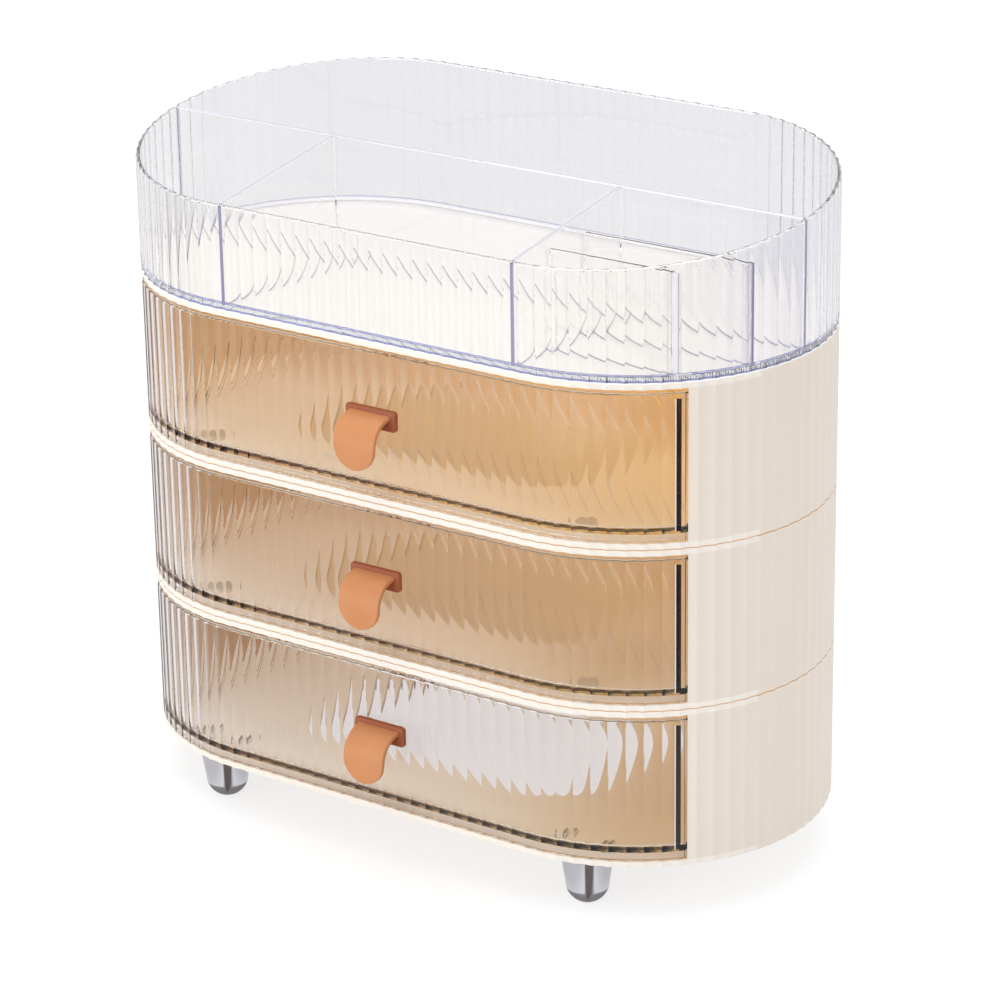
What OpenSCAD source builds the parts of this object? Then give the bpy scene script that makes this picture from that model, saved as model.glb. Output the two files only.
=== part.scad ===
// Tabletop organizer: three stacked cream shells, each with a clear pull-out drawer, and a
// clear open tray with dividers on top, all on four small plated feet. The plan is a long
// oval with straight front and back, and its outer wall is covered in shallow upright flutes.
// The origin is the middle of the box round the whole object, pulls included, on the surface
// that it stands on. The front faces -Y.

/* [Plan] */
// Overall width, along X
body_w = 325; // [300:1:360]
// Overall depth, along Y
body_d = 170; // [164:1:184]
// Number of upright flutes round the whole outline
flute_count = 114; // [100:2:130]
// Radius of each hollow flute
flute_r = 14; // [11:0.5:20]
// Width of the ridge left between two flutes
ridge_w = 0.3; // [0.2:0.1:0.8]

/* [Tiers] */
// Height of one tier, floor to floor
tier_h = 71; // [66:0.5:80]
// Wall thickness of the shells at the ridges
shell_wall = 3; // [2.6:0.1:3.6]
// Thickness of the shell floor
floor_t = 3; // [2.5:0.1:3.5]
// Thickness of the closed plate on top of each shell
top_t = 2.5; // [2:0.1:3]
// Width of the opening in the front of each shell
open_w = 279.4; // [270:0.2:284]
// Width of the cut-out in the shell floor
window_w = 140; // [100:2:150]
// Depth of the cut-out in the shell floor
window_d = 84; // [60:2:90]
// Corner radius of the floor cut-out
window_r = 20; // [10:1:28]
// Height of the shadow gap under each shell
seam_h = 0.5; // [0.3:0.1:1]

/* [Drawers] */
// Thickness of the fluted drawer front at its ridges
front_t = 3; // [2.6:0.1:3.6]
// Thickness of the drawer sides and back
side_t = 2.2; // [1.8:0.1:2.6]
// Height of the drawer front
drawer_h = 63.2; // [56:0.2:63.4]
// Height of the runners under the drawer floor
runner_h = 3; // [2.8:0.1:4]
// Thickness of the drawer floor
drawer_floor_t = 2.4; // [2:0.1:3]
// Side gap between a drawer and the shell
slide_gap = 0.6; // [0.4:0.1:0.9]

/* [Pull tabs] */
// How far each pull sits to the right of the middle
pull_x = 4; // [-10:0.5:10]
// Height of the middle of the pull plate above the underside of its shell
pull_z = 38.7; // [30:0.1:46]
// Width of the pull plate
plate_w = 25.4; // [24:0.2:32]
// Height of the pull plate
plate_h = 8.9; // [7.5:0.1:10]
// Thickness of the pull plate
plate_t = 2.2; // [2:0.1:3]
// Width of the curved tab
tab_w = 20.7; // [16:0.1:22]
// Thickness of the curved tab
tab_t = 2.2; // [1.8:0.1:2.6]
// How far the tab stands out from the plate
tab_out = 12.2; // [10:0.1:16]
// How far the tab hangs down below its top
tab_drop = 21.8; // [18:0.1:26]

/* [Tray] */
// Height of the tray at the front
tray_front_h = 45.8; // [40:0.2:55]
// Height of the tray at the back
tray_back_h = 69; // [56:0.5:74]
// Wall thickness of the tray at the ridges
tray_wall = 2; // [1.8:0.1:3]
// Thickness of the tray floor
tray_floor_t = 2; // [1.6:0.1:2.6]
// Thickness of the tall dividers
divider_t = 1.8; // [1.4:0.1:2.4]
// Where the long divider crosses the depth
long_divider_y = -3.5; // [-12:0.5:4]
// How far each short divider is from the middle
short_divider_x = 73.6; // [65:0.2:80]
// Height of the two low panels
panel_h = 42.6; // [34:0.2:44]
// Thickness of the two low panels
panel_t = 1.6; // [1.2:0.1:2]
// Distance of the first low panel behind the front face
panel_step_a = 53; // [50:1:56]
// Distance of the second low panel behind the front face
panel_step_b = 27; // [25:1:30]

/* [Feet] */
// Height of the feet
foot_h = 23; // [21:0.5:30]
// Radius of a foot where it meets the shell
foot_r_top = 11; // [10.5:0.1:12]
// Radius of a foot at its rounded end
foot_r_low = 9.5; // [9:0.1:10]
// How far the feet are from the middle, along X
foot_x = 96.5; // [90:0.5:104]
// How far the feet are from the middle, along Y
foot_y = 67; // [60:0.5:67]

/* [Output] */
// Which piece to draw

/* [Hidden] */
$fn = 96;

// plan: two half circles joined by straight runs
end_r = body_d / 2;
end_x = body_w / 2 - end_r;
arc_len = PI * end_r;
outline_len = 4 * end_x + 2 * arc_len;
flute_pitch = outline_len / flute_count;
// how far the middle of a flute's circle lies outside the outline, on the straight runs and
// round the ends, so that all ridges are equally wide
flute_half = (flute_pitch - ridge_w) / 2;
flute_out_straight = sqrt(flute_r * flute_r - flute_half * flute_half);
flute_out_end = sqrt(flute_r * flute_r - pow(end_r * sin(flute_half / end_r * 180 / PI), 2))
    - end_r * (1 - cos(flute_half / end_r * 180 / PI));

// the plan sits this far behind the origin, because the pulls stand out in front
plan_y = (plate_t + tab_out) / 2;

// heights of the three shells and of the tray
bottom_z = foot_h;
middle_z = bottom_z + tier_h;
top_z = middle_z + tier_h;
tray_gap = 0.2;
tray_z = top_z + tier_h + tray_gap;

// drawer levels above the underside of its shell
lift_gap = 0.4;
drawer_base = floor_t + lift_gap;
drawer_half_w = open_w / 2 - slide_gap;
// the drawer body stays this far inside the plan outline
body_inset = shell_wall + slide_gap;
// the shell wall ends on a flat face, this far in front of the middle
cut_y = -50;

// holes and pegs
peg_r = 1.9;
peg_x = 8;
peg_head_r = 3;
peg_head_t = 1;
pin_r = 3;
pin_head_r = 5;
pin_head_t = 1.6;
pin_barb_r = 3.4;
pin_barb_t = 1.4;
prong_w = 6;
prong_t = 2;
prong_rise = 2;
prong_gap = 0.3;

// tray features
guide_w = 1.6;
guide_t = 1.4;
panel_slot = panel_t + 0.8;
tilt = atan((tray_back_h - tray_front_h) / body_d);
panel_rear_y = -end_r + panel_step_a;
panel_front_y = -end_r + panel_step_b;

cream = [0.91, 0.875, 0.82];
clear = [0.86, 0.86, 0.92, 0.35];
amber_clear = [0.86, 0.74, 0.6, 0.45];
tan = [0.87, 0.58, 0.4];
brown = [0.72, 0.42, 0.29];
plated = [0.75, 0.75, 0.77];

// ---------- plan shapes ----------

// the oval outline, shrunk by inset all round
module oval(inset) {
    union() {
        for (side = [-1, 1])
            translate([side * end_x, 0])
                circle(r = end_r - inset);
        square([2 * end_x, 2 * (end_r - inset)], center = true);
    }
}

// middle of flute number i: counted from the front middle towards +X, all the way round
function flute_at(i) =
    let (s = i * flute_pitch, out = end_r + flute_out_straight)
    s < end_x ? [s, -out] :
    s < end_x + arc_len ? on_end(1, -90 + (s - end_x) / end_r * 180 / PI) :
    s < 3 * end_x + arc_len ? [2 * end_x + arc_len - s, out] :
    s < 3 * end_x + 2 * arc_len ?
        on_end(-1, 90 + (s - 3 * end_x - arc_len) / end_r * 180 / PI) :
    [s - outline_len, -out];

function on_end(side, a) =
    [side * end_x + (end_r + flute_out_end) * cos(a), (end_r + flute_out_end) * sin(a)];

// the outline with its flutes; only those in front of y_limit are cut
module fluted_oval(y_limit) {
    difference() {
        oval(0);
        for (i = [0:flute_count - 1])
            let (p = flute_at(i))
                if (p[1] < y_limit)
                    translate(p)
                        circle(r = flute_r);
    }
}

module rounded_rect(w, d, r) {
    union() {
        square([w - 2 * r, d], center = true);
        square([w, d - 2 * r], center = true);
        for (sx = [-1, 1])
            for (sy = [-1, 1])
                translate([sx * (w / 2 - r), sy * (d / 2 - r)])
                    circle(r = r);
    }
}

// ---------- shells ----------

// places its children at the four foot positions
module at_feet() {
    for (sx = [-1, 1])
        for (sy = [-1, 1])
            translate([sx * foot_x, sy * foot_y, 0])
                children();
}

// shell on underside height z; the lowest one takes the feet, and the highest one has no
// holes in its top plate
module shell(z, with_feet, with_top_holes) {
    inner_top = tier_h - top_t;
    seam_in = 2.4;
    color(cream)
        translate([0, plan_y, z])
            difference() {
                union() {
                    translate([0, 0, seam_h])
                        linear_extrude(tier_h - seam_h)
                            fluted_oval(body_d);
                    linear_extrude(seam_h + 0.1)
                        oval(seam_in);
                }
                translate([0, 0, floor_t])
                    linear_extrude(inner_top - floor_t)
                        oval(shell_wall);
                translate([-open_w / 2, cut_y - body_d, floor_t])
                    cube([open_w, body_d, inner_top - floor_t]);
                translate([0, 0, -1])
                    linear_extrude(floor_t + 2)
                        rounded_rect(window_w, window_d, window_r);
                at_feet()
                    if (with_feet)
                        prong_slots();
                    else
                        translate([0, 0, -1])
                            cylinder(h = floor_t + 2, r = pin_r);
                if (with_top_holes)
                    at_feet()
                        translate([0, 0, inner_top - 1])
                            cylinder(h = top_t + 2, r = pin_r);
            }
}

// slots in the floor for the two prongs of a foot
module prong_slots() {
    for (side = [-1, 1])
        translate([side * (foot_r_top - prong_t / 2), 0, floor_t / 2])
            cube([prong_t + 2 * prong_gap, prong_w + 2 * prong_gap, floor_t + 2], center = true);
}

// four push-in pins that hold the shell above on the shell below; z is the joint height
module joint_pins(z) {
    color(cream)
        at_feet()
            translate([0, plan_y, z])
                union() {
                    translate([0, 0, floor_t])
                        cylinder(h = pin_head_t, r = pin_head_r);
                    translate([0, 0, -top_t])
                        cylinder(h = top_t + floor_t, r = pin_r);
                    translate([0, 0, -top_t - pin_barb_t])
                        cylinder(h = pin_barb_t, r = pin_barb_r);
                }
}

// ---------- feet ----------

// hollow plated foot with a rounded end and two prongs that pass through the shell floor
module foot(sx, sy) {
    wall = 2;
    flat_r = 3.5;
    bend_z = foot_r_low * cos(asin(flat_r / foot_r_low));
    collar_h = 4;
    color(plated)
        translate([sx * foot_x, plan_y + sy * foot_y, 0])
            union() {
                rotate_extrude()
                    difference() {
                        union() {
                            intersection() {
                                translate([0, bend_z])
                                    circle(r = foot_r_low);
                                square([foot_r_low, bend_z + 0.01]);
                            }
                            polygon([[0, bend_z], [foot_r_low, bend_z],
                                [foot_r_top, foot_h - collar_h], [foot_r_top, foot_h],
                                [0, foot_h]]);
                        }
                        translate([0, bend_z])
                            square([foot_r_low - wall, foot_h]);
                    }
                for (side = [-1, 1])
                    prong(side);
            }
}

// one prong with a small outward hook above the floor
module prong(side) {
    hook = 0.8;
    x_mid = foot_r_top - prong_t / 2;
    hook_z = foot_h + floor_t + 0.3;
    translate([side * x_mid, 0, 0])
        union() {
            translate([-prong_t / 2, -prong_w / 2, foot_h - 3])
                cube([prong_t, prong_w, 3 + floor_t + prong_rise]);
            translate([side > 0 ? 0 : -prong_t / 2 - hook, -prong_w / 2, hook_z])
                cube([prong_t / 2 + hook, prong_w, prong_rise - 0.3]);
        }
}

// ---------- drawers ----------

// plan of a drawer, outer face: fluted in front, smooth and rounded behind
module drawer_plan() {
    intersection() {
        union() {
            oval(body_inset);
            intersection() {
                fluted_oval(cut_y);
                translate([-body_w / 2, -body_d])
                    square([body_w, body_d + cut_y]);
            }
        }
        square([2 * drawer_half_w, 2 * body_d], center = true);
    }
}

// plan of the space inside a drawer
module drawer_space() {
    intersection() {
        union() {
            oval(body_inset + side_t);
            intersection() {
                oval(front_t);
                translate([-body_w / 2, -body_d])
                    square([body_w, body_d + cut_y]);
            }
        }
        square([2 * (drawer_half_w - side_t), 2 * body_d], center = true);
    }
}

module drawer(z) {
    color(amber_clear)
        translate([0, plan_y, z + drawer_base])
            difference() {
                linear_extrude(drawer_h)
                    drawer_plan();
                translate([0, 0, runner_h + drawer_floor_t])
                    linear_extrude(drawer_h)
                        drawer_space();
                translate([0, 0, -1])
                    linear_extrude(runner_h + 1)
                        under_drawer();
                for (side = [-1, 1])
                    translate([pull_x + side * peg_x, 0, pull_z - drawer_base])
                        rotate([90, 0, 0])
                            cylinder(h = body_d, r = peg_r + 0.1);
            }
}

// plan of the hollow under a drawer floor: open at the back, closed by the front and sides
module under_drawer() {
    runner_end = 50;
    union() {
        drawer_space();
        translate([-body_w, runner_end])
            square([2 * body_w, body_d]);
    }
}

// ---------- pulls ----------

// rectangular plate on the drawer front, held by two pegs with heads inside the drawer
module pull_plate(z) {
    color(brown)
        translate([pull_x, plan_y - end_r, z + pull_z])
            rotate([90, 0, 0])
                union() {
                    linear_extrude(plate_t)
                        rounded_rect(plate_w, plate_h, 1.4);
                    for (side = [-1, 1])
                        translate([side * peg_x, 0, 0]) {
                            translate([0, 0, -front_t])
                                cylinder(h = front_t + 0.5, r = peg_r);
                            translate([0, 0, -front_t - peg_head_t])
                                cylinder(h = peg_head_t, r = peg_head_r);
                        }
                }
}

// curved tab: a quarter bend and a straight end, cut to a round tip in front view
module pull_tab(z) {
    bend_r = tab_out;
    top_rise = 2.6;
    tip_r = tab_w / 2;
    straight = tab_drop - bend_r;
    color(tan)
        translate([pull_x, plan_y - end_r - plate_t, z + pull_z + top_rise])
            intersection() {
                translate([-tab_w / 2, 0, 0])
                    rotate([90, 0, 90])
                        linear_extrude(tab_w)
                            union() {
                                intersection() {
                                    translate([0, -bend_r])
                                        difference() {
                                            circle(r = bend_r);
                                            circle(r = bend_r - tab_t);
                                        }
                                    translate([-bend_r, -bend_r])
                                        square([bend_r, bend_r]);
                                }
                                translate([-bend_r, -bend_r - straight])
                                    square([tab_t, straight]);
                            }
                rotate([90, 0, 0])
                    linear_extrude(2 * bend_r)
                        union() {
                            translate([0, tip_r - tab_drop])
                                circle(r = tip_r);
                            translate([-tip_r, tip_r - tab_drop])
                                square([tab_w, tab_drop]);
                        }
            }
}

// ---------- tray ----------

module tray() {
    color(clear)
        translate([0, plan_y, tray_z])
            difference() {
                union() {
                    difference() {
                        linear_extrude(tray_back_h)
                            fluted_oval(body_d);
                        translate([0, 0, tray_floor_t])
                            linear_extrude(tray_back_h)
                                oval(tray_wall);
                    }
                    intersection() {
                        linear_extrude(tray_back_h)
                            oval(tray_wall / 2);
                        dividers();
                    }
                }
                translate([0, -end_r, tray_front_h])
                    rotate([tilt, 0, 0])
                        translate([-body_w, -body_d, 0])
                            cube([2 * body_w, 3 * body_d, 2 * tray_back_h]);
            }
}

// the long divider, two short ones in front of it and the guides of the low panels
module dividers() {
    union() {
        translate([-body_w / 2, long_divider_y - divider_t / 2, 0])
            cube([body_w, divider_t, tray_back_h]);
        for (side = [-1, 1])
            translate([side * short_divider_x - divider_t / 2, -end_r, 0])
                cube([divider_t, end_r + long_divider_y, tray_back_h]);
        for (y = [panel_rear_y, panel_front_y])
            panel_guides(y);
    }
}

// the inside of the curved wall at distance y from the middle, on the right
function wall_x(y) = end_x + sqrt(pow(end_r - tray_wall, 2) - y * y);

// a pair of upright ribs at each end of a low panel
module panel_guides(y) {
    left = short_divider_x + divider_t / 2;
    for (side = [-1, 1])
        for (end = [left, wall_x(y) - guide_t - 1])
            translate([end, y + side * (panel_slot + guide_w) / 2 - guide_w / 2, 0])
                cube([end == left ? guide_t : guide_t + 6, guide_w, panel_h + tray_floor_t]);
}

// low panel that drops into its guides; y is its middle
module low_panel(y) {
    end_gap = 0.4;
    left = short_divider_x + divider_t / 2 + end_gap;
    right = min(wall_x(y - panel_t / 2), wall_x(y + panel_t / 2)) - end_gap;
    color(clear)
        translate([left, plan_y + y - panel_t / 2, tray_z + tray_floor_t + 0.2])
            cube([right - left, panel_t, panel_h]);
}

// ---------- assembly ----------

shell(bottom_z, true, true);  // shell_bottom
shell(middle_z, false, true);  // shell_middle
shell(top_z, false, false);  // shell_top
joint_pins(middle_z);  // joint_pins_lower
joint_pins(top_z);  // joint_pins_upper
drawer(bottom_z);  // drawer_bottom
drawer(middle_z);  // drawer_middle
drawer(top_z);  // drawer_top
pull_plate(bottom_z);  // pull_plate_bottom
pull_plate(middle_z);  // pull_plate_middle
pull_plate(top_z);  // pull_plate_top
pull_tab(bottom_z);  // pull_tab_bottom
pull_tab(middle_z);  // pull_tab_middle
pull_tab(top_z);  // pull_tab_top
foot(-1, -1);  // foot_front_left
foot(1, -1);  // foot_front_right
foot(-1, 1);  // foot_rear_left
foot(1, 1);  // foot_rear_right
tray();
low_panel(panel_rear_y);  // low_panel_rear
low_panel(panel_front_y);  // low_panel_front
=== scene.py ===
"""Fluted tabletop organizer: cream shells, clear drawers with tan pulls, a clear tray and
plated feet."""
import math

import bmesh
import bpy
from mathutils import Matrix, Vector


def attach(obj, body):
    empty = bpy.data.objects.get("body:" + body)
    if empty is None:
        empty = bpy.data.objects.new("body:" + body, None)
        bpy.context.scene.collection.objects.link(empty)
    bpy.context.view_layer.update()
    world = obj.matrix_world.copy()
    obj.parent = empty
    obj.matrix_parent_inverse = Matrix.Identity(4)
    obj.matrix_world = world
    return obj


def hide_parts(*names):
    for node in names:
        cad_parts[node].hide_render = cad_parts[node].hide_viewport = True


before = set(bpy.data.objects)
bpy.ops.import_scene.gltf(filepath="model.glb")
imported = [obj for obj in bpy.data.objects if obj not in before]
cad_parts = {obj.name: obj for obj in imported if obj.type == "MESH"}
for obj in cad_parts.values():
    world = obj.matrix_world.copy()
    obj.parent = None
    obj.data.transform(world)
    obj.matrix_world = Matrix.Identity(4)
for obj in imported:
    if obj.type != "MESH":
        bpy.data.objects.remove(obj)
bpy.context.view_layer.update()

# ---------- sizes, in metres ----------

# The plan is two half circles joined by straight runs, and its middle lies PLAN_Y behind the
# frame's origin, because the pulls stand out in front.
PLAN_Y = 0.0072
END_R = 0.085
END_X = 0.0775
FLUTES = 114
FLUTE_R = 0.014
RIDGE_W = 0.0003
OUTLINE = 4 * END_X + 2 * math.pi * END_R
PITCH = OUTLINE / FLUTES
FLUTE_HALF = (PITCH - RIDGE_W) / 2
FLUTE_OUT_STRAIGHT = math.sqrt(FLUTE_R ** 2 - FLUTE_HALF ** 2)
FLUTE_OUT_END = (math.sqrt(FLUTE_R ** 2 - (END_R * math.sin(FLUTE_HALF / END_R)) ** 2)
                 - END_R * (1 - math.cos(FLUTE_HALF / END_R)))

FOOT_H = 0.023
TIER_H = 0.071
TIERS = {"bottom": FOOT_H, "middle": FOOT_H + TIER_H, "top": FOOT_H + 2 * TIER_H}
SHELL_FLOOR = 0.003
SHELL_CEILING = TIER_H - 0.0025
SHELL_PLATE_TOP = SHELL_CEILING + 0.0023
SHELL_INNER_R = 0.0834
SEAM_H = 0.00053

DRAWER_HALF = 0.1391
DRAWER_BASE = 0.0034
DRAWER_H = 0.0632
FRONT_T = 0.003
SIDE_T = 0.0022
BODY_INSET = 0.0036
RUNNER_H = 0.003
DRAWER_FLOOR = 0.0024

TRAY_Z = FOOT_H + 3 * TIER_H + 0.0002
TRAY_FRONT_H = 0.0458
TRAY_BACK_H = 0.069
TRAY_WALL = 0.002
TRAY_FLOOR = 0.002
DIVIDER_T = 0.0018
LONG_DIVIDER_Y = -0.0035
SHORT_DIVIDER_X = 0.0736
PANEL_H = 0.0426
PANEL_T = 0.0016
PANEL_ROWS = {"rear": -0.032, "front": -0.058}

PULL_X = 0.004
PULL_Z = 0.0387
PLATE = (0.0254, 0.0089, 0.0022)
TAB_W = 0.0207
TAB_T = 0.0022
TAB_OUT = 0.0122
TAB_DROP = 0.0218
TAB_RISE = 0.0026

FOOT_X = 0.0965
FOOT_Y = 0.067


# The viewpoint: how far it is turned to the right and raised, in degrees, the camera's own
# tilt, the point it looks at, its distance and its lens in sensor widths.
VIEW_TURN = 34.9012
VIEW_RISE = 21.1314
VIEW_TILT = -0.9072
VIEW_TARGET = (0.0079, PLAN_Y, 0.13992)
VIEW_DISTANCE = 1.6713
VIEW_LENS = 3.8472


# ---------- camera ----------

def make_camera():
    """The photograph's viewpoint: from the right and a little above, through a long lens."""
    azimuth, elevation, roll = (math.radians(a) for a in (VIEW_TURN, VIEW_RISE, VIEW_TILT))
    target = Vector(VIEW_TARGET)
    back = Vector((math.sin(azimuth) * math.cos(elevation),
                   -math.cos(azimuth) * math.cos(elevation), math.sin(elevation)))
    right = Vector((math.cos(azimuth), math.sin(azimuth), 0))
    up = back.cross(right)
    level_right = math.cos(roll) * right + math.sin(roll) * up
    level_up = math.cos(roll) * up - math.sin(roll) * right
    data = bpy.data.cameras.new("view_camera")
    data.sensor_width = 36
    data.lens = data.sensor_width * VIEW_LENS
    data.clip_start, data.clip_end = 0.05, 50
    camera = bpy.data.objects.new("view_camera", data)
    bpy.context.scene.collection.objects.link(camera)
    turn = Matrix((level_right, level_up, back)).transposed().to_4x4()
    camera.matrix_world = Matrix.Translation(target + back * VIEW_DISTANCE) @ turn
    bpy.context.scene.camera = camera


# ---------- shader writing ----------

class Socket:
    """A node's output. Sums, products and comparisons of these add their own Math nodes."""

    def __init__(self, finish, output):
        self.finish = finish
        self.output = output

    def maths(self, operation, *values):
        names = {i: v for i, v in enumerate(values)}
        return self.finish.node("ShaderNodeMath", {"operation": operation}, names)

    def __add__(self, other):
        return self.maths("ADD", self, other)

    def __radd__(self, other):
        return self.maths("ADD", other, self)

    def __sub__(self, other):
        return self.maths("SUBTRACT", self, other)

    def __rsub__(self, other):
        return self.maths("SUBTRACT", other, self)

    def __mul__(self, other):
        return self.maths("MULTIPLY", self, other)

    def __rmul__(self, other):
        return self.maths("MULTIPLY", other, self)

    def __truediv__(self, other):
        return self.maths("DIVIDE", self, other)

    def __lt__(self, other):
        return self.maths("LESS_THAN", self, other)

    def __gt__(self, other):
        return self.maths("GREATER_THAN", self, other)

    def __mod__(self, other):
        return self.maths("MODULO", self, other)

    def __abs__(self):
        return self.maths("ABSOLUTE", self)

    def at_least(self, other):
        return self.maths("MAXIMUM", self, other)

    def at_most(self, other):
        return self.maths("MINIMUM", self, other)

    def root(self):
        return self.maths("SQRT", self)

    def ramp(self, low, high, out_low=0.0, out_high=1.0):
        """Rises smoothly from out_low to out_high between low and high."""
        return self.finish.node(
            "ShaderNodeMapRange", {"interpolation_type": "SMOOTHSTEP"},
            {"Value": self, "From Min": low, "From Max": high,
             "To Min": out_low, "To Max": out_high})


class Finish:
    """A material, or the studio around the piece, being written."""

    def __init__(self, name, owner=None):
        self.owner = owner or bpy.data.materials.new(name)
        self.owner.use_nodes = True
        self.tree = self.owner.node_tree
        self.tree.nodes.clear()

    def node(self, kind, settings=None, inputs=None, output=0):
        """Adds any node: its settings first, then the values or links of its sockets."""
        made = self.tree.nodes.new(kind)
        for name, value in (settings or {}).items():
            setattr(made, name, value)
        for name, value in (inputs or {}).items():
            if isinstance(value, Socket):
                self.tree.links.new(value.output, made.inputs[name])
            else:
                made.inputs[name].default_value = value
        return None if output is None else Socket(self, made.outputs[output])

    def mix(self, factor, first, second):
        """Blends two colours."""
        return self.node("ShaderNodeMix", {"data_type": "RGBA"},
                         {0: factor, 6: first, 7: second}, 2)

    def blend(self, factor, first, second):
        """Blends two shaders."""
        return self.node("ShaderNodeMixShader", None, {0: factor, 1: first, 2: second})

    def ray(self, kind):
        """1 for rays of that kind."""
        return self.node("ShaderNodeLightPath", output="Is %s Ray" % kind)

    def place(self, output="Object"):
        """Position on the piece, as a vector and as three numbers."""
        where = self.node("ShaderNodeTexCoord", output=output)
        split = self.node("ShaderNodeSeparateXYZ", None, {0: where})
        return where, [Socket(self, out) for out in split.output.node.outputs]

    def noise(self, where, scale, detail=2.0):
        return self.node("ShaderNodeTexNoise", None,
                         {"Vector": where, "Scale": scale, "Detail": detail})

    def bump(self, height, strength, distance):
        return self.node("ShaderNodeBump", None,
                         {"Height": height, "Strength": strength, "Distance": distance})

    def surface(self, shader):
        world = isinstance(self.owner, bpy.types.World)
        kind = "ShaderNodeOutputWorld" if world else "ShaderNodeOutputMaterial"
        self.node(kind, None, {"Surface": shader}, None)
        return self.owner


def colour(red, green, blue):
    """A colour picked on screen, 0 to 255, as the linear values a shader takes."""
    def linear(level):
        level /= 255
        return level / 12.92 if level <= 0.04045 else ((level + 0.055) / 1.055) ** 2.4
    return (linear(red), linear(green), linear(blue), 1)


# ---------- finishes ----------

def from_spine(x, depth):
    """Distance in plan from the line that the two round ends are drawn about."""
    beyond = (abs(x) - END_X).at_least(0)
    return (beyond * beyond + depth * depth).root()


def cream_shell_finish(tier, paint):
    """Satin cream outside. Inside, the warm light that comes through the thin cream walls is
    painted: the walls are painted a tan shade and glow a little with a painted glow. The seam
    under a shell shows a painted golden glow."""
    f = Finish("cream_shell_" + tier)
    where, (x, y, z) = f.place()
    depth = y - PLAN_Y
    radius = from_spine(x, depth)
    level = z - TIERS[tier]
    mid = (SHELL_FLOOR + SHELL_CEILING) / 2
    half = (SHELL_CEILING - SHELL_FLOOR) / 2 + 0.0001
    mouth = depth.ramp(-0.05, -0.02, 1, 0) * radius.ramp(0.066, 0.082)
    inside = (radius < SHELL_INNER_R) * (abs(level - mid) < half) * (1 - mouth)
    on_floor = level < SHELL_FLOOR + 0.0002
    ceiling_lip_shade = radius.ramp(0.0775, 0.080) * (level > SHELL_CEILING - 0.0005)
    cloud = f.noise(where, 14)
    cream = f.mix(cloud, colour(238, 227, 213), colour(242, 231, 218))
    # painted light: the top face of the top shell is painted lighter, as the light falls on it
    # from above
    if tier == "top":
        cream = f.mix(level > SHELL_PLATE_TOP, cream, colour(253, 248, 241))
    # painted shade and light inside: tan walls that change from left to right, and a floor painted
    # lighter toward the left and darker toward the rear
    wall = f.mix(x.ramp(-0.13, 0.13), colour(*paint["wall_shade_left"]), colour(*paint["wall_shade_right"]))
    floor = f.mix(x.ramp(0, 0.12), colour(*paint["floor_light_left"]), colour(*paint["floor_light_right"]))
    floor = f.mix(paint["rear_shade"] * depth.ramp(0.005, 0.055), floor, colour(200, 150, 92))
    tan = f.mix(on_floor, wall, floor)
    # painted shade: a brown line along the lip of the ceiling
    tan = f.mix(ceiling_lip_shade, tan, colour(158, 112, 70))
    # painted glow: the inside glows a little, though no lamp is there
    glow = f.mix(paint["glow"] * inside, (0, 0, 0, 1), tan)
    # painted glow: a lower shell's top plate, seen through the floor opening above, glows grey-tan
    if tier != "top":
        glowing_plate_top = (radius < SHELL_INNER_R) * (level > SHELL_PLATE_TOP)
        glow = f.mix(glowing_plate_top, glow, colour(150, 140, 114))
    # painted light: the front edges between the drawers glow a pale blue-grey
    front_edge_light = (depth < -0.03) * (radius > SHELL_INNER_R) * (abs(level - mid) > half)
    glow = f.mix(front_edge_light, glow, colour(100, 117, 124))
    # painted light: the recessed seam is painted golden and glows, though its wall is cream
    if tier != "bottom":
        seam = level < SEAM_H
        cream = f.mix(seam, cream, colour(222, 184, 130))
        glow = f.mix(seam, glow, colour(176, 134, 78))
    return f.surface(f.node("ShaderNodeBsdfPrincipled", None, {
        "Base Color": f.mix(inside, cream, tan),
        "Roughness": 0.34 + 0.06 * cloud,
        "IOR": 1.46,
        "Emission Color": glow,
        "Emission Strength": 0.5,
        "Normal": f.bump(f.noise(where, 900), 0.15, 0.0001),
    }))


def pin_finish():
    f = Finish("pin_cream")
    where, _ = f.place()
    cloud = f.noise(where, 60)
    return f.surface(f.node("ShaderNodeBsdfPrincipled", None, {
        "Base Color": f.mix(cloud, colour(222, 212, 196), colour(230, 221, 207)),
        "Roughness": 0.4 + 0.08 * cloud,
    }))


def clear_plastic(f, tint):
    """Clear moulded plastic of a given tint. Light that only passes through on its way to
    another surface goes straight, so that what lies behind is lit as through thin plastic."""
    where, _ = f.place()
    plastic = f.node("ShaderNodeBsdfPrincipled", None, {
        "Base Color": tint,
        "Roughness": 0.015,
        "IOR": 1.49,
        "Transmission Weight": 1.0,
        "Normal": f.bump(f.noise(where, 45, 1), 0.06, 0.0004),
    })
    straight = f.node("ShaderNodeBsdfTransparent", None, {"Color": (0.99, 0.99, 0.99, 1)})
    return f.blend(f.ray("Shadow").at_least(f.ray("Diffuse")), plastic, straight)


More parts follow.
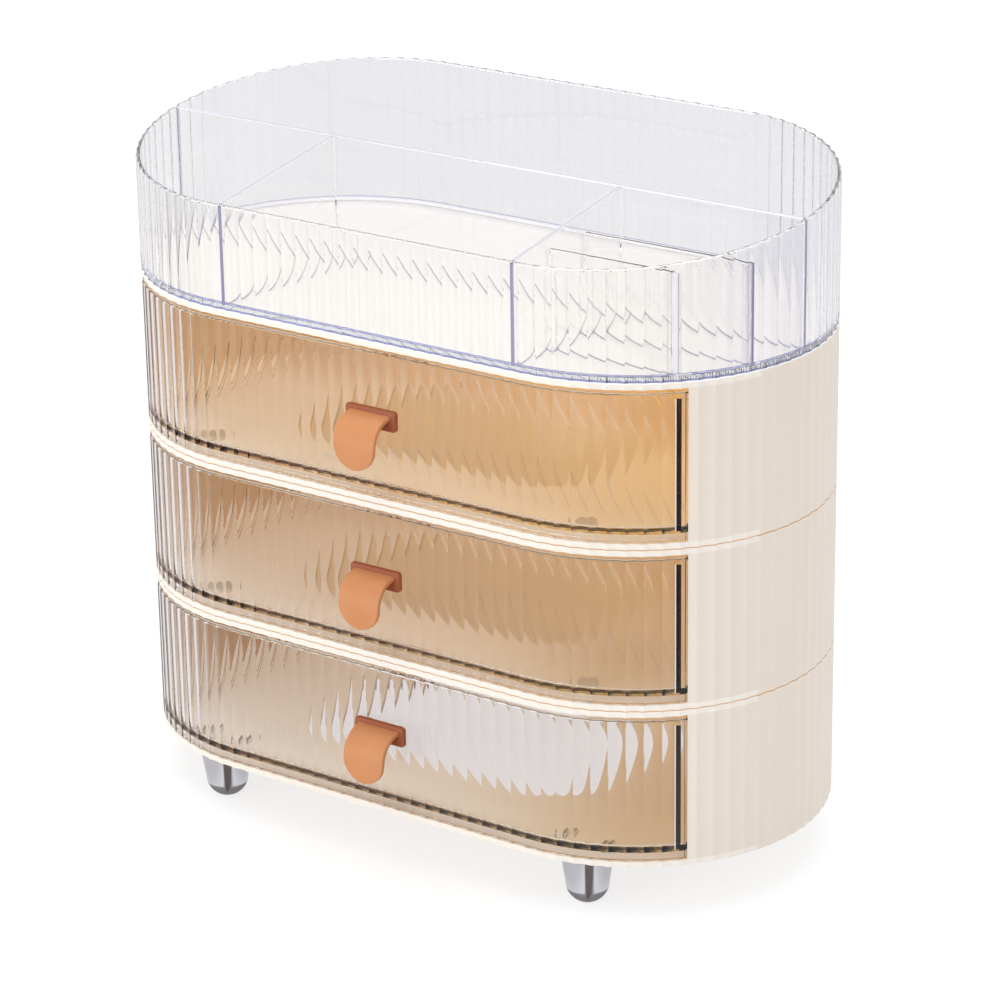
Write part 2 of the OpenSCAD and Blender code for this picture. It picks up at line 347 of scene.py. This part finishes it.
def clear_drawer_finish():
    """Clear, with painted shade where the front hides the edge of the floor or of a side wall,
    because the light that enters there is led away inside the sheet. The flutes break the painted
    line that the floor makes into steps, and a painted highlight runs beside the dark one of the
    side wall."""
    f = Finish("drawer_clear")
    _, (x, y, z) = f.place()
    depth = y - PLAN_Y
    level = (z - FOOT_H) % TIER_H
    front = (from_spine(x, depth) > END_R - 0.0016) * (depth < -0.054)
    beyond = (abs(x) - END_X).at_least(0)
    along = abs(x).at_most(END_X) + END_R * beyond.maths("ARCTAN2", beyond, 0 - depth)
    # a hundred flutes and a half are added, so that the remainder is never negative
    along = along * x.maths("SIGN", x) + 100.5 * PITCH
    step = (along % PITCH) / PITCH - 0.5
    line_z, line_half, step_h = 0.0089, 0.0007, 0.0005
    floor_edge_shade = abs(level - line_z - step_h * step) < line_half
    from_side = DRAWER_HALF - abs(x)
    upright = (level > 0.008) * (level < 0.0645) * front
    side_edge_shade = (abs(from_side - 0.0019) < 0.0008) * upright
    bright = (abs(from_side - 0.00295) < 0.00022) * upright
    # painted shade: dark lines behind the front at the edge of the floor and of the side walls
    tint = f.mix(floor_edge_shade * front, (0.99, 0.985, 0.98, 1), (0.06, 0.065, 0.14, 1))
    tint = f.mix(side_edge_shade, tint, (0.0015, 0.001, 0.001, 1))
    # painted highlight: a pale line beside the side wall's dark one
    pale = f.node("ShaderNodeBsdfDiffuse", None, {"Color": colour(225, 224, 232)})
    return f.surface(f.blend(0.8 * bright, clear_plastic(f, tint), pale))


def clear_tray_finish():
    """Clear with a lavender cast, painted deepest along the foot of the wall, where the floor is
    seen from its edge, and painted a little deeper toward the rear and the right end as shade. The
    dividers have painted pale highlights on their top edges and lavender painted on their ends in
    front, where light runs along the sheet."""
    f = Finish("tray_clear")
    _, (x, y, z) = f.place()
    depth = y - PLAN_Y
    radius = from_spine(x, depth)
    level = z - TRAY_Z
    wall_r = END_R - TRAY_WALL
    within = radius < wall_r - 0.00003
    ahead = depth.ramp(0.0, 0.045, 1, 0)
    foot = (level < 0.0012) * (radius > wall_r - 0.002) * ahead
    joint = within * (abs(level - TRAY_FLOOR - 0.0003) < 0.0003) * ahead
    # painted shade: the cast is a little deeper toward the rear and the right end
    far = depth.ramp(-0.004, 0.02).at_least(x.ramp(0.125, 0.158))
    tint = f.mix(far, (0.995, 0.993, 0.985, 1), (0.945, 0.943, 0.96, 1))
    # painted light: deep lavender along the foot of the wall and the floor's joint, where light
    # runs through the floor from its edge
    tint = f.mix(foot, tint, (0.2, 0.23, 0.56, 1))
    tint = f.mix(joint, tint, (0.5, 0.5, 0.62, 1))

    rim = TRAY_FRONT_H + (TRAY_BACK_H - TRAY_FRONT_H) * (depth + END_R) / (2 * END_R)
    top_edge_highlight = (radius < wall_r - 0.0003) * (level > rim - 0.0005)
    front_edge_light = within * (radius > wall_r - 0.0002) * (level > 0.0021)
    fillet_highlight = within * (radius > wall_r - 0.0021) * (level < 0.0045) * (level > 0.0012)
    fillet_highlight = fillet_highlight * depth.ramp(0.0, 0.02)

    from_row = {row: abs(depth - where) for row, where in PANEL_ROWS.items()}
    upright = within * (level > TRAY_FLOOR + 0.0001) * (level < TRAY_FLOOR + PANEL_H + 0.0006)
    beside = sum((off > 0.001) * (off < 0.0033) for off in from_row.values())
    at_divider = abs(x - SHORT_DIVIDER_X - 0.00165) < 0.00071
    at_wall = (x > 0.1) * (radius > wall_r - 0.005)
    guides = beside * at_divider.at_least(at_wall) * upright
    panel_end = (x > 0.1) * upright
    front_end = (from_row["front"] < 0.001) * panel_end * (radius > wall_r - 0.0022)
    rear_end = (from_row["rear"] < 0.001) * panel_end * (radius > wall_r - 0.0013)

    pale = f.node("ShaderNodeBsdfDiffuse", None, {"Color": colour(238, 238, 244)})
    lavender = f.node("ShaderNodeBsdfDiffuse", None, {"Color": colour(150, 148, 184)})
    unseen = f.node("ShaderNodeBsdfTransparent")
    made = f.blend(0.85 * guides, clear_plastic(f, tint), unseen)
    # painted highlights: pale on the top edges, on the front panel's ends and on the rounded inner
    # corner at the rear of the foot
    made = f.blend((0.65 * top_edge_highlight).at_least(0.6 * front_end).at_least(0.6 * fillet_highlight), made, pale)
    # painted light: lavender on the sheets' ends at the wall and on the rear panel's ends, where
    # light runs along them
    return f.surface(f.blend((0.8 * front_edge_light).at_least(0.7 * rear_end), made, lavender))


def pull_finish(name, light, dark, grain_depth):
    """Tan plastic with a soft leather-like surface."""
    f = Finish(name)
    where, _ = f.place()
    cloud = f.noise(where, 90)
    pores = f.noise(where, 1500, 3)
    return f.surface(f.node("ShaderNodeBsdfPrincipled", None, {
        "Base Color": f.mix(cloud, colour(*light), colour(*dark)),
        "Roughness": 0.5 + 0.12 * pores,
        "Normal": f.bump(pores, grain_depth, 0.0002),
    }))


def plated_finish():
    """Bright plating with the faint waviness of plated plastic."""
    f = Finish("foot_plating")
    where, _ = f.place()
    wave = f.noise(where, 70, 1)
    return f.surface(f.node("ShaderNodeBsdfPrincipled", None, {
        "Base Color": colour(226, 226, 230),
        "Metallic": 1.0,
        "Roughness": 0.05 + 0.03 * wave,
        "Normal": f.bump(wave, 0.05, 0.0005),
    }))


# ---------- mesh helpers ----------

def add_mesh(name, points, faces, angle=35):
    """A mesh object from points and faces, with its normals outward and soft below the angle."""
    mesh = bpy.data.meshes.new(name)
    mesh.from_pydata(points, [], faces)
    work = bmesh.new()
    work.from_mesh(mesh)
    bmesh.ops.remove_doubles(work, verts=work.verts, dist=2e-6)
    bmesh.ops.recalc_face_normals(work, faces=work.faces)
    work.to_mesh(mesh)
    work.free()
    mesh.shade_smooth()
    mesh.set_sharp_from_angle(angle=math.radians(angle))
    made = bpy.data.objects.new(name, mesh)
    bpy.context.scene.collection.objects.link(made)
    return made


def add_piece(name, points, faces, node, body, finish, angle=35):
    """A mesh that takes the place of a CAD node."""
    made = add_mesh(name, points, faces, angle)
    made.data.materials.append(finish)
    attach(made, body)
    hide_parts(node)
    return made


def skin(rings, close_first=True, close_last=True):
    """Points and faces of a surface through rings of equal length, closed at its two ends."""
    count = len(rings[0])
    points = [p for ring in rings for p in ring]
    faces = []
    for r in range(len(rings) - 1):
        for i in range(count):
            j = (i + 1) % count
            faces.append((r * count + i, r * count + j, (r + 1) * count + j, (r + 1) * count + i))
    if close_first:
        faces.append(tuple(range(count)))
    if close_last:
        faces.append(tuple((len(rings) - 1) * count + i for i in range(count)))
    return points, faces


def join(*parts):
    """Several sets of points and faces as one."""
    points, faces = [], []
    for more_points, more_faces in parts:
        start = len(points)
        points += more_points
        faces += [tuple(start + i for i in face) for face in more_faces]
    return points, faces


# ---------- the plan ----------

def outline(s):
    """Point and outward direction on the smooth outline, s along it from the front middle."""
    s %= OUTLINE
    arc = math.pi * END_R
    if s < END_X:
        return (s, -END_R), (0, -1)
    if s < END_X + arc:
        a = (s - END_X) / END_R - math.pi / 2
        return (END_X + END_R * math.cos(a), END_R * math.sin(a)), (math.cos(a), math.sin(a))
    if s < 3 * END_X + arc:
        return (2 * END_X + arc - s, END_R), (0, 1)
    if s < 3 * END_X + 2 * arc:
        a = (s - 3 * END_X - arc) / END_R + math.pi / 2
        return (-END_X + END_R * math.cos(a), END_R * math.sin(a)), (math.cos(a), math.sin(a))
    return (s - OUTLINE, -END_R), (0, -1)


def inward(s, inset):
    """The outline's point at s, moved in by inset."""
    (x, y), (nx, ny) = outline(s)
    return x - inset * nx, y - inset * ny


def flute_middle(number):
    """Middle of the circle that cuts a flute, which lies outside the outline."""
    (x, y), (nx, ny) = outline(number * PITCH)
    out = FLUTE_OUT_STRAIGHT if nx == 0 else FLUTE_OUT_END
    return x + out * nx, y + out * ny


def flute_depth(s):
    """How far the fluted surface lies inside the smooth outline at s."""
    (x, y), (nx, ny) = outline(s)
    nearest = round(s / PITCH)
    deepest = 0
    for number in (nearest - 1, nearest, nearest + 1):
        mx, my = flute_middle(number)
        along = (x - mx) * nx + (y - my) * ny
        square = along ** 2 - (x - mx) ** 2 - (y - my) ** 2 + FLUTE_R ** 2
        if square > 0:
            deepest = max(deepest, along + math.sqrt(square))
    return deepest


def flute_stops(first, last, steps):
    """Places along the outline for flutes number first to last, each cut into steps."""
    return [i * PITCH + FLUTE_HALF * (2 * j / steps - 1)
            for i in range(first, last + 1) for j in range(steps + 1)]


# ---------- clear tray ----------

def rim_z(y):
    """Height of the slanting rim, y measured from the middle of the plan."""
    return TRAY_Z + TRAY_FRONT_H + (TRAY_BACK_H - TRAY_FRONT_H) * (y + END_R) / (2 * END_R)


def tray_wall():
    """The tray's wall and floor: under the floor, up the fluted outside, over the rim and down
    the smooth inside, with a ring beside each rounded edge that keeps the wide faces flat."""
    stops = flute_stops(0, FLUTES - 1, 12)
    depths = [flute_depth(s) for s in stops]

    def ring(inset, height, fluted, from_rim):
        made = []
        for s, depth in zip(stops, depths):
            x, y = inward(s, inset + (depth if fluted else 0))
            made.append((x, y + PLAN_Y, height + (rim_z(y) if from_rim else TRAY_Z)))
        return made

    floor = TRAY_FLOOR
    return skin([
        ring(0.0010, 0, True, False),
        ring(0.0006, 0, True, False),
        ring(0.0001, 0.0002, True, False),
        ring(0, 0.0007, True, False),
        ring(0, 0.0011, True, False),
        ring(0, -0.0012, True, True),
        ring(0, -0.0008, True, True),
        ring(0.0002, -0.0002, True, True),
        ring(0.0008, 0, True, True),
        ring(TRAY_WALL - 0.0006, 0, False, True),
        ring(TRAY_WALL - 0.0001, -0.0002, False, True),
        ring(TRAY_WALL, -0.0007, False, True),
        ring(TRAY_WALL, -0.0011, False, True),
        ring(TRAY_WALL, floor + 0.0019, False, False),
        ring(TRAY_WALL, floor + 0.0015, False, False),
        ring(TRAY_WALL + 0.0005, floor + 0.0004, False, False),
        ring(TRAY_WALL + 0.0016, floor, False, False),
        ring(TRAY_WALL + 0.0020, floor, False, False),
    ])


def slab(low, high, edge, top=None):
    """An upright sheet with rounded upper edges; top gives its height at each y."""
    (x0, y0, z0), (x1, y1, z1) = low, high
    height = top or (lambda y: z1)

    def ring(inset, z_of):
        corners = ((x0 + inset, y0 + inset), (x1 - inset, y0 + inset),
                   (x1 - inset, y1 - inset), (x0 + inset, y1 - inset))
        return [(x, y + PLAN_Y, z_of(y)) for x, y in corners]

    return skin([
        ring(0, lambda y: z0),
        ring(0, lambda y: height(y) - edge * 1.8),
        ring(0, lambda y: height(y) - edge),
        ring(edge * 0.3, lambda y: height(y) - edge * 0.3),
        ring(edge, height),
    ])


def tray_wall_x(y):
    """The inner face of the curved wall at y."""
    return END_X + math.sqrt((END_R - TRAY_WALL) ** 2 - y ** 2)


def tray_dividers():
    """The long divider, the two short ones, and the guides that hold the low panels."""
    half = DIVIDER_T / 2
    gap = 0.00005
    floor = TRAY_Z + TRAY_FLOOR + gap
    edge = 0.0004
    reach = tray_wall_x(LONG_DIVIDER_Y - half) - gap
    sheets = [slab((-reach, LONG_DIVIDER_Y - half, floor), (reach, LONG_DIVIDER_Y + half, 0),
                   edge, rim_z)]
    for side in (-1, 1):
        x = side * SHORT_DIVIDER_X
        sheets.append(slab((x - half, -END_R + TRAY_WALL + gap, floor),
                           (x + half, LONG_DIVIDER_Y - half - gap, 0), edge, rim_z))
    left = SHORT_DIVIDER_X + half + gap
    for y in PANEL_ROWS.values():
        right = tray_wall_x(y - 0.003) - gap
        top = TRAY_Z + TRAY_FLOOR + PANEL_H
        for side in (-1, 1):
            mid = y + side * (PANEL_T + 0.0024) / 2
            for x0, x1 in ((left, left + 0.0014), (right - 0.0024, right)):
                sheets.append(slab((x0, mid - 0.0008, floor), (x1, mid + 0.0008, top), 0.0003))
    return join(*sheets)


def add_tray(finish):
    points, faces = join(tray_wall(), tray_dividers())
    add_piece("clear_tray", points, faces, "tray", "tray", finish, 10)


def add_low_panel(row, finish):
    """A low panel between the right short divider and the curved wall."""
    y = PANEL_ROWS[row]
    left = SHORT_DIVIDER_X + DIVIDER_T / 2 + 0.0004
    right = min(tray_wall_x(y - PANEL_T / 2), tray_wall_x(y + PANEL_T / 2)) - 0.0004
    low = (left, y - PANEL_T / 2, TRAY_Z + TRAY_FLOOR + 0.0002)
    high = (right, y + PANEL_T / 2, TRAY_Z + TRAY_FLOOR + 0.0002 + PANEL_H)
    points, faces = slab(low, high, 0.0004)
    node = "low_panel_" + row
    add_piece("clear_panel_" + row, points, faces, node, node, finish)


# ---------- clear drawers ----------

def front_end():
    """Where along the outline the fluted front comes as far out as the drawer's side."""
    low = END_X + END_R * math.asin((DRAWER_HALF - END_X) / END_R)
    high = low + 0.003
    for _ in range(30):
        mid = (low + high) / 2
        if inward(mid, flute_depth(mid))[0] < DRAWER_HALF:
            low = mid
        else:
            high = mid
    return low


def drawer_loops():
    """Matching points round a drawer: outside and inside, as (x, y) from the plan's middle."""
    outer, inner = [], []
    reach = DRAWER_HALF - END_X
    end = front_end()
    stops = [s for s in flute_stops(-21, 21, 14) if abs(s) < end - 0.0002]
    for s in [-end] + stops + [end]:
        outer.append(inward(s, flute_depth(s)))
        inner.append(inward(s, FRONT_T))
    back_r = END_R - BODY_INSET
    space_r = back_r - SIDE_T
    start_a = math.asin(reach / back_r)
    space_a = math.asin((reach - SIDE_T) / space_r)
    side_outer = (outer[-1][1], back_r * math.cos(start_a))
    side_inner = (inner[-1][1], space_r * math.cos(space_a))
    for k in range(1, 13):
        t = k / 13
        outer.append((DRAWER_HALF, side_outer[0] + t * (side_outer[1] - side_outer[0])))
        inner.append((DRAWER_HALF - SIDE_T, side_inner[0] + t * (side_inner[1] - side_inner[0])))
    for k in range(33):
        t = 1 - k / 32
        outer.append((END_X + back_r * math.sin(t * start_a), back_r * math.cos(t * start_a)))
        inner.append((END_X + space_r * math.sin(t * space_a), space_r * math.cos(t * space_a)))
    half = list(zip(outer, inner))[len(stops) + 2:]
    for (ox, oy), (ix, iy) in reversed(half):
        outer.append((-ox, oy))
        inner.append((-ix, iy))
    return outer, inner


def drawer_mesh(z):
    """A drawer on the shell at height z: a skirt all round its floor, but for the back, walls
    with rounded rims, and a fluted front."""
    outer, inner = drawer_loops()
    base = z + DRAWER_BASE
    under = base + RUNNER_H
    floor = under + DRAWER_FLOOR
    top = base + DRAWER_H
    runner_end = 0.05

    def ring(outward, inset, z_of):
        """A ring a given share of the way from the inner loop to the outer one, less inset."""
        made = []
        for (ox, oy), (ix, iy) in zip(outer, inner):
            dx, dy = ox - ix, oy - iy
            size = math.hypot(dx, dy)
            share = outward - inset / size
            x, y = ix + share * dx, iy + share * dy
            made.append((x, y + PLAN_Y, z_of(y)))
        return made

    def skirt(y):
        return under - 0.00002 if y > runner_end else base

    return skin([
        ring(0, 0, lambda y: under),
        ring(0, 0, skirt),
        ring(1, 0.0003, skirt),
        ring(1, 0, lambda y: skirt(y) + 0.0004),
        ring(1, 0, lambda y: skirt(y) + 0.0007),
        ring(1, 0, lambda y: top - 0.0009),
        ring(1, 0, lambda y: top - 0.0006),
        ring(1, 0.0002, lambda y: top - 0.0001),
        ring(1, 0.0006, lambda y: top),
        ring(0, -0.0005, lambda y: top),
        ring(0, 0, lambda y: top - 0.0005),
        ring(0, 0, lambda y: top - 0.0008),
        ring(0, 0, lambda y: floor + 0.0016),
        ring(0, 0, lambda y: floor + 0.0012),
        ring(0, 0.0004, lambda y: floor + 0.0003),
        ring(0, 0.0013, lambda y: floor),
        ring(0, 0.0017, lambda y: floor),
    ])


def add_drawer(tier, finish):
    points, faces = drawer_mesh(TIERS[tier])
    node = "drawer_" + tier
    add_piece("clear_drawer_" + tier, points, faces, node, node, finish, 10)


# ---------- pulls ----------

def lathe(profile, centre, axis_y=False, count=48):
    """A turned shape: profile is (radius, height) from one end to the other."""
    rings = []
    for r, h in profile:
        ring = []
        for k in range(count):
            a = 2 * math.pi * k / count
            u, v = r * math.cos(a), r * math.sin(a)
            point = (u, -h, v) if axis_y else (u, v, h)
            ring.append(tuple(c + p for c, p in zip(centre, point)))
        rings.append(ring)
    return skin(rings)


def plate_mesh(z):
    """Rectangular plate with rounded corners and edges, and its two headed pegs."""
    width, height, thick = PLATE
    face_y = PLAN_Y - END_R
    corner = 0.0014

    def ring(inset, out):
        made = []
        for sx, sz, start in ((1, 1, 0), (-1, 1, 90), (-1, -1, 180), (1, -1, 270)):
            for k in range(7):
                a = math.radians(start + 15 * k)
                r = corner - inset
                made.append((PULL_X + sx * (width / 2 - corner) + r * math.cos(a),
                             face_y - out,
                             z + PULL_Z + sz * (height / 2 - corner) + r * math.sin(a)))
        return made

    plate = skin([ring(0, 0), ring(0, thick - 0.0007), ring(0.00015, thick - 0.0003),
                  ring(0.0004, thick - 0.0001), ring(0.0008, thick)])
    pegs = []
    for side in (-1, 1):
        centre = (PULL_X + side * 0.008, face_y, z + PULL_Z)
        pegs.append(lathe([(0.003, -0.004), (0.003, -0.0033), (0.0026, -0.003), (0.0019, -0.003),
                           (0.0019, -0.00005)], centre, True, 32))
    return join(plate, *pegs)


def tab_mesh(z):
    """The curved tab: a quarter bend, a straight run and a round tip, with soft edges."""
    top = z + PULL_Z + TAB_RISE
    root_y = PLAN_Y - END_R - PLATE[2]
    tip_r = TAB_W / 2
    bend = TAB_OUT
    straight = TAB_DROP - bend
    rows = []
    for k in range(25):
        a = math.radians(90 * k / 24)
        rows.append((math.sin(a), math.cos(a), 0.0))
    for k in range(1, 30):
        rows.append((1.0, 0.0, straight * math.sin(math.pi / 2 * k / 29)))
    soft = 0.0007
    rings = []
    for out, up, down in rows:
        middle_drop = bend - bend * up + down
        left = TAB_DROP - middle_drop
        half = tip_r if left > tip_r else math.sqrt(max(tip_r ** 2 - (tip_r - left) ** 2, 0))
        half = max(half, 0.0006)
        ring = []
        for across, depth in section(half, TAB_T, soft):
            r = bend - TAB_T / 2 + depth
            y = root_y - r * out
            level = top - bend + r * up - down
            ring.append((PULL_X + across, y, level))
        rings.append(ring)
    return skin(rings)


def section(half, thick, soft):
    """Cross-section of the tab: a flat strip with rounded edges, as (across, depth) pairs."""
    soft = min(soft, half * 0.9)
    made = []
    for sx, sd, start in ((1, 1, 0), (-1, 1, 90), (-1, -1, 180), (1, -1, 270)):
        for k in range(5):
            a = math.radians(start + 22.5 * k)
            made.append((sx * (half - soft) + soft * math.cos(a),
                         sd * (thick / 2 - soft) + soft * math.sin(a)))
    return made


def add_pull(tier, plate_finish, tab_finish):
    z = TIERS[tier]
    body = "drawer_" + tier
    points, faces = plate_mesh(z)
    add_piece("pull_plate_shown_" + tier, points, faces, "pull_plate_" + tier, body,
              plate_finish)
    points, faces = tab_mesh(z)
    add_piece("pull_tab_shown_" + tier, points, faces, "pull_tab_" + tier, body,
              tab_finish, 50)


# ---------- feet ----------

def foot_mesh(sx, sy):
    """Hollow plated foot with a rounded end and a small flat under it, and its two prongs."""
    low_r, top_r, flat_r, wall = 0.0095, 0.011, 0.0035, 0.002
    prong_x, prong_half, prong_t, hook_t = 0.010, 0.003, 0.002, 0.0018
    prong_top, hook_z = 0.028, 0.0263
    start = math.asin(flat_r / low_r)
    bend_z = low_r * math.cos(start)
    profile = []
    for k in range(17):
        a = start + (math.pi / 2 - start) * k / 16
        profile.append((low_r * math.sin(a), bend_z - low_r * math.cos(a)))
    profile += [(top_r, FOOT_H - 0.004), (top_r, FOOT_H - 0.0003), (top_r - 0.0003, FOOT_H),
                (low_r - wall, FOOT_H), (low_r - wall, bend_z)]
    centre = (sx * FOOT_X, PLAN_Y + sy * FOOT_Y, 0)
    parts = [lathe(profile, centre, False, 96)]
    for side in (-1, 1):
        mid = centre[0] + side * prong_x
        y = sy * FOOT_Y
        hooked = sorted((mid, mid + side * hook_t))
        for (x0, x1), low in (((mid - prong_t / 2, mid + prong_t / 2), FOOT_H - 0.002),
                              (hooked, hook_z)):
            parts.append(slab((x0, y - prong_half, low), (x1, y + prong_half, prong_top), 0.0003))
    return join(*parts)


def add_foot(place, sx, sy, finish):
    points, faces = foot_mesh(sx, sy)
    add_piece("plated_foot_" + place, points, faces, "foot_" + place, "stack",
              finish)


# ---------- stage and light ----------

def seen_in_foot(x, depth, foot_x):
    """How dark the floor round a front foot is painted for its plating to show: a dark wedge
    toward the viewpoint, which the foot shows as a painted reflection in an upright band, grey at
    both sides of it, and painted shade close to the foot. A rear foot has the same, turned half
    round."""
    turn = math.radians(VIEW_TURN)
    dx, dy = x - foot_x, depth + FOOT_Y
    ahead = math.sin(turn) * dx - math.cos(turn) * dy
    across = math.cos(turn) * dx + math.sin(turn) * dy
    left = (across + 0.22 * ahead).ramp(-0.0015, 0.002)
    right = (0.47 * ahead - across).ramp(-0.003, 0.005)
    sides = 0.32 * abs(across - 0.12 * ahead).ramp(0.004, 0.03)
    from_foot = (dx * dx + dy * dy).root()
    close = 0.8 * from_foot.ramp(0.0115, 0.0165, 1, 0)
    return (left * right * (ahead > 0)).at_least(sides).at_least(close) * (from_foot < 0.055)


def add_floor():
    """A wide white floor that goes white before the camera and keeps the soft shadow. What the
    clear and plated pieces show of it has a painted dark strip in front of the piece, and the
    plated feet show painted reflections and painted shade as dark patches close to them."""
    f = Finish("studio_floor")
    paper = f.node("ShaderNodeBsdfDiffuse", None, {"Color": (0.8, 0.8, 0.8, 1)})

    def seen(shade, glow, strength):
        shaded = f.node("ShaderNodeBsdfDiffuse", None, {"Color": shade})
        lit = f.node("ShaderNodeEmission", None, {"Color": glow, "Strength": strength})
        return f.node("ShaderNodeAddShader", None, {0: shaded, 1: lit})

    _, (x, y, _) = f.place()
    dark = f.node("ShaderNodeBsdfDiffuse", None, {"Color": (0.2, 0.17, 0.17, 1)})
    white = seen((0.32, 0.32, 0.32, 1), (1, 1, 1, 1), 0.75)
    lavender = seen((0.08, 0.08, 0.082, 1), (1, 0.992, 1.02, 1), 0.8)
    # painted reflections and painted shade round the feet, and a painted dark strip in front,
    # which only the clear and plated pieces show
    painted_shade_and_reflection = sum(seen_in_foot(turned * x, turned * (y - PLAN_Y), place)
                  for turned in (1, -1) for place in (-FOOT_X, FOOT_X))
    strip = y.ramp(-0.64, -0.58) * y.ramp(-0.32, -0.15, 1, 0)
    mirrored = f.blend(strip.at_least(painted_shade_and_reflection.at_most(1)), lavender, dark)
    through = f.blend(strip, lavender, dark)
    light = f.blend(f.ray("Transmission"), f.blend(f.ray("Glossy"), paper, mirrored), through)
    finish = f.surface(f.blend(f.ray("Camera"), light, white))
    size = 6
    floor = add_mesh("studio_floor", [(-size, -size, 0), (size, -size, 0), (size, size, 0),
                                      (-size, size, 0)], [(0, 1, 2, 3)])
    floor.data.materials.append(finish)


def add_lamp(name, place, aim, size, power):
    """A soft box of the given width and height, turned to the point that it lights."""
    data = bpy.data.lights.new(name, "AREA")
    data.shape = "RECTANGLE"
    data.size, data.size_y = size
    data.energy = power
    lamp = bpy.data.objects.new(name, data)
    lamp.location = place
    lamp.rotation_euler = (Vector(aim) - Vector(place)).to_track_quat("-Z", "Y").to_euler()
    bpy.context.scene.collection.objects.link(lamp)


def light_world():
    """A plain bright studio: white to the camera, an even grey as light, and for what the clear
    and plated pieces show a pale wall behind with a darker room in front."""
    f = Finish("studio", bpy.data.worlds.new("studio"))
    _, (_, y, _) = f.place("Generated")
    shown = f.ray("Glossy").at_least(f.ray("Transmission"))
    room = f.mix(y.ramp(-0.6, 0.3), (0.3, 0.3, 0.3, 1), (0.86, 0.855, 0.88, 1))
    even = f.node("ShaderNodeBackground", None, {"Color": (0.98, 0.98, 1.0, 1), "Strength": 0.7})
    around = f.node("ShaderNodeBackground", None, {"Color": room, "Strength": 1.0})
    white = f.node("ShaderNodeBackground", None, {"Color": (1, 1, 1, 1), "Strength": 1.0})
    light = f.blend(shown, even, around)
    bpy.context.scene.world = f.surface(f.blend(f.ray("Camera"), light, white))


def light_studio():
    """The even studio and its three soft boxes, of which the low one in front lights the pulls."""
    light_world()
    add_lamp("overhead_softbox", (-0.1, 0.1, 1.6), (0, 0, 0.15), (1.6, 1.4), 14)
    add_lamp("front_low_softbox", (-0.5, -1.7, 0.3), (0, 0, 0.15), (1.4, 0.5), 11)
    add_lamp("right_softbox", (1.7, 0.4, 0.7), (0, 0, 0.12), (1.2, 1.2), 2.6)


# ---------- assembly ----------

def dress_shells():
    """The shells and pins keep the frame's own solids and get finishes. Each tier's painted inner
    shade runs from left to right, and its share of painted glow stands in for the light let in by
    the walls."""
    # painted shade, painted light and painted glow inside each tier
    paints = {
        "top": {"wall_shade_left": (210, 180, 140), "wall_shade_right": (223, 185, 100),
                "floor_light_left": (255, 249, 233), "floor_light_right": (243, 229, 200),
                "glow": 0.53, "rear_shade": 0.55},
        "middle": {"wall_shade_left": (200, 168, 128), "wall_shade_right": (208, 170, 97),
                   "floor_light_left": (254, 247, 234), "floor_light_right": (227, 210, 182),
                   "glow": 0.48, "rear_shade": 0.35},
        "bottom": {"wall_shade_left": (178, 138, 92), "wall_shade_right": (199, 163, 98),
                   "floor_light_left": (255, 254, 244), "floor_light_right": (227, 205, 168),
                   "glow": 0.52, "rear_shade": 0.0},
    }
    finishes = {"shell_" + tier: cream_shell_finish(tier, paints[tier]) for tier in TIERS}
    finishes["joint_pins_lower"] = finishes["joint_pins_upper"] = pin_finish()
    for name, finish in finishes.items():
        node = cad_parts[name]
        node.data.materials.clear()
        node.data.materials.append(finish)


def main():
    make_camera()
    light_studio()
    add_floor()
    dress_shells()
    drawer_clear = clear_drawer_finish()
    tray_clear = clear_tray_finish()
    plate_brown = pull_finish("pull_plate_brown", (166, 92, 56), (154, 82, 48), 0.2)
    tab_tan = pull_finish("pull_tab_tan", (212, 145, 94), (204, 134, 85), 0.25)
    plating = plated_finish()
    for tier in TIERS:
        add_drawer(tier, drawer_clear)
        add_pull(tier, plate_brown, tab_tan)
    add_tray(tray_clear)
    for row in PANEL_ROWS:
        add_low_panel(row, tray_clear)
    for place, sx, sy in (("front_left", -1, -1), ("front_right", 1, -1),
                          ("rear_left", -1, 1), ("rear_right", 1, 1)):
        add_foot(place, sx, sy, plating)


bpy.context.scene.view_settings.view_transform = "Standard"
cycles = bpy.context.scene.cycles
cycles.max_bounces = 24
cycles.transmission_bounces = 24
cycles.transparent_max_bounces = 32
cycles.glossy_bounces = 24
main()
